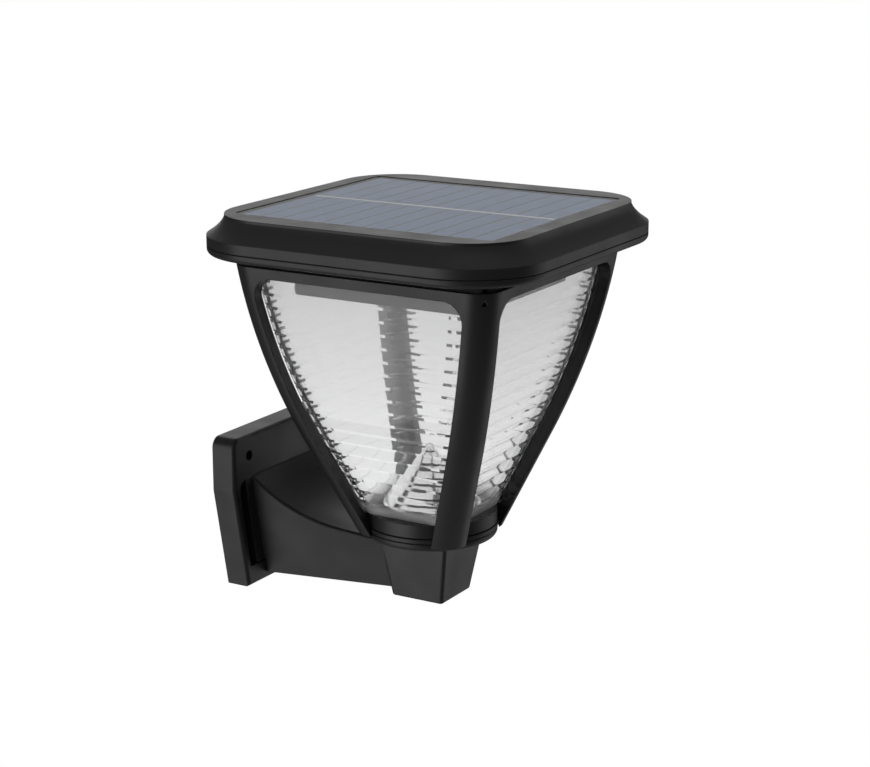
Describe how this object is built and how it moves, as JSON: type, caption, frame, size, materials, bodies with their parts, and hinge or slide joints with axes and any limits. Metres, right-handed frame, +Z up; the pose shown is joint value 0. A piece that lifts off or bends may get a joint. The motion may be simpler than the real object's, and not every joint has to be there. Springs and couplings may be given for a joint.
{
  "type": "solar fence light",
  "caption": "Wall-hung solar lantern: square lid with a panel over a stepped clear lens in a cage of posts, on a short arm and a tapered screw plate, with a push switch under the rim.",
  "frame": {"origin": "centre of the wall plate's back face, on the wall", "axes": "+Z up, +Y into the wall, so the light stands out along -Y; X runs across the wall and the light is symmetric about X = 0"},
  "size_m": [0.15, 0.155, 0.1671],
  "materials": {
    "satin_black_plastic": "satin moulded plastic",
    "clear_lens": "clear moulded polycarbonate, slightly hazy",
    "pale_grey_plastic": "satin",
    "black_rubber": "soft matte",
    "board_laminate": "green laminate",
    "panel_glass": "tempered flat glass",
    "silicon_cell": "dark blue-black crystalline",
    "tinned_copper": "tinned strip",
    "light_chip": "yellow phosphor",
    "battery_wrap": "shrink sleeve",
    "black_component": "moulded",
    "screw_steel": "zinc plated"
  },
  "bodies": {
    "lantern": {"wall_plate": "satin_black_plastic", "bracket_arm": "satin_black_plastic", "neck_ring": "satin_black_plastic", "cage_frame": "satin_black_plastic", "lens": "clear_lens", "reflector_cone": "pale_grey_plastic", "lens_seal": "black_rubber", "lid_base": "satin_black_plastic", "lid_seal": "black_rubber", "lid_cover": "satin_black_plastic", "panel_board": "board_laminate", "panel_glass": "panel_glass", "solar_cells": "silicon_cell", "cell_ribbon": "tinned_copper", "led_window": "clear_lens", "led_board": "board_laminate", "led_chips": "light_chip", "battery": "battery_wrap", "battery_holder": "pale_grey_plastic", "battery_contacts": "tinned_copper", "control_board": "board_laminate", "board_parts": "black_component", "board_screws": "screw_steel", "switch_body": "black_component", "switch_nut": "screw_steel", "neck_screws": "screw_steel", "cage_screws": "screw_steel", "lid_screws": "screw_steel", "foot_screws": "screw_steel"},
    "button": {"switch_button": "black_rubber"}
  },
  "joints": [
    {"name": "switch_press", "type": "slide", "parent": "lantern", "child": "button", "axis": [0, 0, 1], "range_m": [0, 0.0015], "stiffness_N_per_m": 600, "springref_m": -0.0015}
  ]
}
